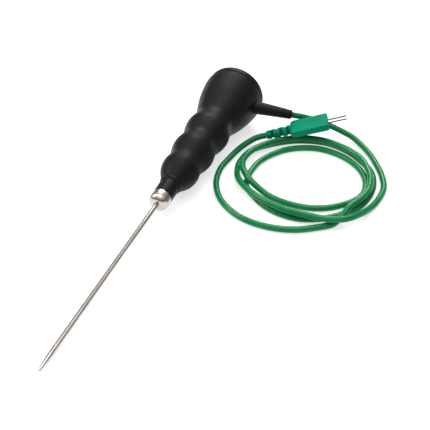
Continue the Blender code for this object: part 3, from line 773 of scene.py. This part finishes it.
def plan_outline(inset):
    """The plug body's outline from above, with large rear corners and small front ones."""
    points = []
    for x, y, radius, start in (
        (LONG, WIDE, FRONT_CORNER, 0.0),
        (-LONG, WIDE, REAR_CORNER, 90.0),
        (-LONG, -WIDE, REAR_CORNER, 180.0),
        (LONG, -WIDE, FRONT_CORNER, 270.0),
    ):
        centre_x = x - math.copysign(radius, x)
        centre_y = y - math.copysign(radius, y)
        reach = radius - inset
        for a in np.radians(np.linspace(start, start + 90.0, CORNER_POINTS)):
            points.append((centre_x + reach * math.cos(a), centre_y + reach * math.sin(a)))
    return points


def make_plug_body():
    """Moulded slab with soft edges and a parting line, falling off at its shoulders."""
    edge = [
        (THICK - PLUG_EDGE + PLUG_EDGE * math.sin(a), PLUG_EDGE * (1 - math.cos(a)))
        for a in np.linspace(0.0, QUARTER_TURN, EDGE_POINTS)
    ]
    upper = list(PARTING_LINE) + edge
    lower = [(-z, inset) for z, inset in upper[::-1]]
    rings = []
    for z, inset in lower + upper:
        ring = []
        for x, y in plan_outline(inset):
            fall = max(0.0, 1.0 - (x + LONG) / SHOULDER_LENGTH) ** 2
            ring.append((x, y * (1.0 - SHOULDER_NARROWER * fall), z * (1.0 - SHOULDER_THINNER * fall)))
        rings.append(ring)
    body = ring_mesh("plug_shell", rings, PLUG)
    depth, half_width, half_height = POCKET
    low = (LONG - depth, -half_width, -half_height)
    high = (LONG + CUT_PAST, half_width, half_height)
    mesh = cut(body, [box_mesh("plug_pocket", low, high, PLUG, bevel=0.4)])
    mesh.name = "plug_shell"
    return add_piece("plug_shell", mesh, TEAL, ("plug_body",))


def make_plug_insert():
    """Block in the plug's front, with a hole for each pin."""
    depth, half_width, half_height = INSERT
    low = (LONG - depth, -half_width, -half_height)
    high = (LONG - INSERT_SETBACK, half_width, half_height)
    block = box_mesh("plug_face", low, high, PLUG, bevel=0.35)
    start = LONG - PIN_HOLE_DEPTH
    end = LONG + CUT_PAST
    bore = [(start, 0.0), (start, PIN_HOLE_RADIUS), (end, PIN_HOLE_RADIUS), (end, 0.0)]
    holes = []
    for side in (-1, 1):
        centre = (side * PIN_PITCH / 2, 0.0)
        holes.append(turned_mesh(f"pin_hole_{side}", bore, PLUG, steps=PIN_SIDES, centre=centre))
    mesh = cut(block, holes)
    mesh.name = "plug_face"
    return add_piece("plug_face", mesh, DARK_TEAL, ("plug_insert",))


def make_pins():
    """Two slim round pins with domed ends."""
    tip = LONG + PIN_OUTSIDE
    root = LONG - PIN_INSIDE
    dome = [
        (tip - PIN_RADIUS + PIN_RADIUS * math.sin(a), PIN_RADIUS * math.cos(a))
        for a in np.linspace(0.0, QUARTER_TURN, EDGE_POINTS)
    ]
    outline = [(root, 0.0), (root, PIN_RADIUS - 0.05), (root + 0.05, PIN_RADIUS)] + dome
    pins = []
    for side, sign in ((1, "positive"), (-1, "negative")):
        centre = (side * PIN_PITCH / 2, 0.0)
        mesh = turned_mesh(f"{sign}_pin", outline, PLUG, steps=PIN_SIDES, centre=centre)
        pins.append(add_piece(f"{sign}_pin", mesh, PIN_STEEL, (f"pin_{sign}",)))
    return pins


# Each notch of the boot: its distance behind the plug body and the edge it is cut from.
BOOT_NOTCHES = ((1.7, -1), (3.7, 1), (6.6, -1), (9.8, 1), (13.0, -1))
NOTCH_HALF_WIDTH = 1.0
# A notch runs from close to the boot's middle to well outside it.
NOTCH_REACH = (0.3, 6.0)
NOTCH_HALF_HEIGHT = 5.0
# Half sizes of the boot at its front, what the taper takes off them, and what the rear rim takes off.
BOOT_HALF_WIDTH = (3.8, 0.90, 0.45)
BOOT_HALF_HEIGHT = (3.2, 0.55, 0.35)
BOOT_RIM_SHARE = 0.06
BOOT_RINGS = 48
BOOT_SIDES = 40
# Below 1, this power makes the boot's section squarer than an ellipse.
BOOT_SQUARENESS = 0.75


def boot_half_size(sizes, share):
    """Half width or half height of the boot, a share of the way from its front to its rear."""
    front, taper, rim = sizes
    past = max(0.0, share - (1.0 - BOOT_RIM_SHARE)) / BOOT_RIM_SHARE
    return front - taper * share - rim * past**2


def boot_ring(place, half_y, half_z):
    """A squarish section of the boot."""
    ring = []
    for a in np.linspace(0.0, 2 * math.pi, BOOT_SIDES, endpoint=False):
        y, z = (math.copysign(abs(c) ** BOOT_SQUARENESS, c) for c in (math.cos(a), math.sin(a)))
        ring.append((place, half_y * y, half_z * z))
    return ring


def make_boot():
    """Tapered boot, square-shouldered in section, with notches cut in turn from either edge."""
    front = -LONG - 0.1
    length = BOOT_LENGTH - 0.15
    rings = []
    for share in np.linspace(0.0, 1.0, BOOT_RINGS):
        half_y = boot_half_size(BOOT_HALF_WIDTH, share)
        half_z = boot_half_size(BOOT_HALF_HEIGHT, share)
        rings.append(boot_ring(front - length * share, half_y, half_z))
    notches = []
    for back, side in BOOT_NOTCHES:
        near, far = sorted(side * reach for reach in NOTCH_REACH)
        middle = front - back
        low = (middle - NOTCH_HALF_WIDTH, near, -NOTCH_HALF_HEIGHT)
        high = (middle + NOTCH_HALF_WIDTH, far, NOTCH_HALF_HEIGHT)
        notches.append(box_mesh("notch", low, high, PLUG, bevel=0.3))
    mesh = cut(ring_mesh("plug_ribs", rings, PLUG), notches)
    mesh.name = "plug_ribs"
    return add_piece("plug_ribs", mesh, TEAL, ("plug_boot",))


# ---------------------------------------------------------------- hidden pieces keep their CAD shape
INNER_LOOKS = {
    "thermocouple_junction": BRIGHT_METAL,
    "thermo_wire_positive": BRIGHT_METAL,
    "thermo_wire_negative": BRIGHT_METAL,
    "mineral_core": CERAMIC,
    "stem_collar": BRIGHT_METAL,
    "potting_plug": RESIN,
    "inner_lead": SHEATH,
    "cable_tie": NYLON,
    "conductor_positive": GREEN_INSULATION,
    "conductor_negative": WHITE_INSULATION,
    "splice_sleeve_positive": GREEN_INSULATION,
    "splice_sleeve_negative": WHITE_INSULATION,
    "crimp_splice_positive": BRIGHT_METAL,
    "crimp_splice_negative": BRIGHT_METAL,
}


def finish_inner_pieces():
    """Gives each carried-over CAD piece its look."""
    for name, look in INNER_LOOKS.items():
        for material_slot in frame["nodes"][name].material_slots:
            material_slot.material = look


# ---------------------------------------------------------------- floor and light
FLOOR_HALF_WIDTH = 3.0
# Just below the object, so that the floor and the faces that rest on it don't coincide.
FLOOR_HEIGHT = -0.0002
FLOOR_GLOW = {"Emission_Color": (1.0, 1.0, 1.0, 1.0), "Emission_Strength": 0.66}
# The surround's colours, and the heights between which one turns into the other (1 is overhead).
WORLD_LOW = (0.20, (0.07, 0.068, 0.065, 1.0))
WORLD_HIGH = (0.70, (0.62, 0.62, 0.62, 1.0))
LIGHT_AIM = (0.04, -0.04, 0.01)
# Softboxes: name, place, width and height, watts.
SOFTBOXES = (
    ("left_softbox", (-0.15, 0.85, 0.75), (0.5, 0.7), 6.0),
    ("back_softbox", (0.95, 0.15, 0.80), (0.6, 0.35), 6.0),
    ("top_softbox", (0.0, -0.1, 1.2), (0.9, 0.9), 7.0),
)


def make_floor():
    """A pale table top, lit a little from within like a light table, so that shadows stay faint."""
    shape = bmesh.new()
    bmesh.ops.create_grid(shape, x_segments=8, y_segments=8, size=FLOOR_HALF_WIDTH)
    mesh = bpy.data.meshes.new("floor")
    shape.to_mesh(mesh)
    shape.free()
    look = plastic_look(
        "pale_floor",
        (0.50, 0.50, 0.50),
        (0.52, 0.52, 0.52),
        low=0.7,
        high=0.8,
        strength=0.01,
        **FLOOR_GLOW,
    )
    mesh.materials.append(look)
    floor = bpy.data.objects.new("floor", mesh)
    floor.location.z = FLOOR_HEIGHT
    bpy.context.scene.collection.objects.link(floor)


def make_softbox(name, place, size, watts):
    data = bpy.data.lights.new(name, "AREA")
    data.shape = "RECTANGLE"
    data.size, data.size_y = size
    data.energy = watts
    light = bpy.data.objects.new(name, data)
    light.location = place
    light.rotation_euler = (Vector(LIGHT_AIM) - Vector(place)).to_track_quat("-Z", "Y").to_euler()
    bpy.context.scene.collection.objects.link(light)


def make_world():
    """Studio surround: bright overhead, dimmer toward the horizon, for the metal to mirror."""
    world = bpy.data.worlds.new("studio")
    world.use_nodes = True
    tree = world.node_tree
    place = tree.nodes.new("ShaderNodeTexCoord")
    split = tree.nodes.new("ShaderNodeSeparateXYZ")
    ramp = tree.nodes.new("ShaderNodeValToRGB")
    for element, (position, colour) in zip(ramp.color_ramp.elements, (WORLD_LOW, WORLD_HIGH)):
        element.position = position
        element.color = colour
    tree.links.new(place.outputs["Generated"], split.inputs["Vector"])
    tree.links.new(split.outputs["Z"], ramp.inputs["Fac"])
    tree.links.new(ramp.outputs["Color"], tree.nodes["Background"].inputs["Color"])
    bpy.context.scene.world = world


def make_lights():
    make_world()
    bpy.context.scene.view_settings.view_transform = "Standard"
    for name, place, size, watts in SOFTBOXES:
        make_softbox(name, place, size, watts)


make_sleeve()
make_stem()
make_ferrule()
make_neck()
make_grip()
make_end_cap()
make_seal()
plug_pieces = [make_plug_body(), make_plug_insert(), make_boot(), *make_pins()]
finish_inner_pieces()
make_floor()
make_lights()
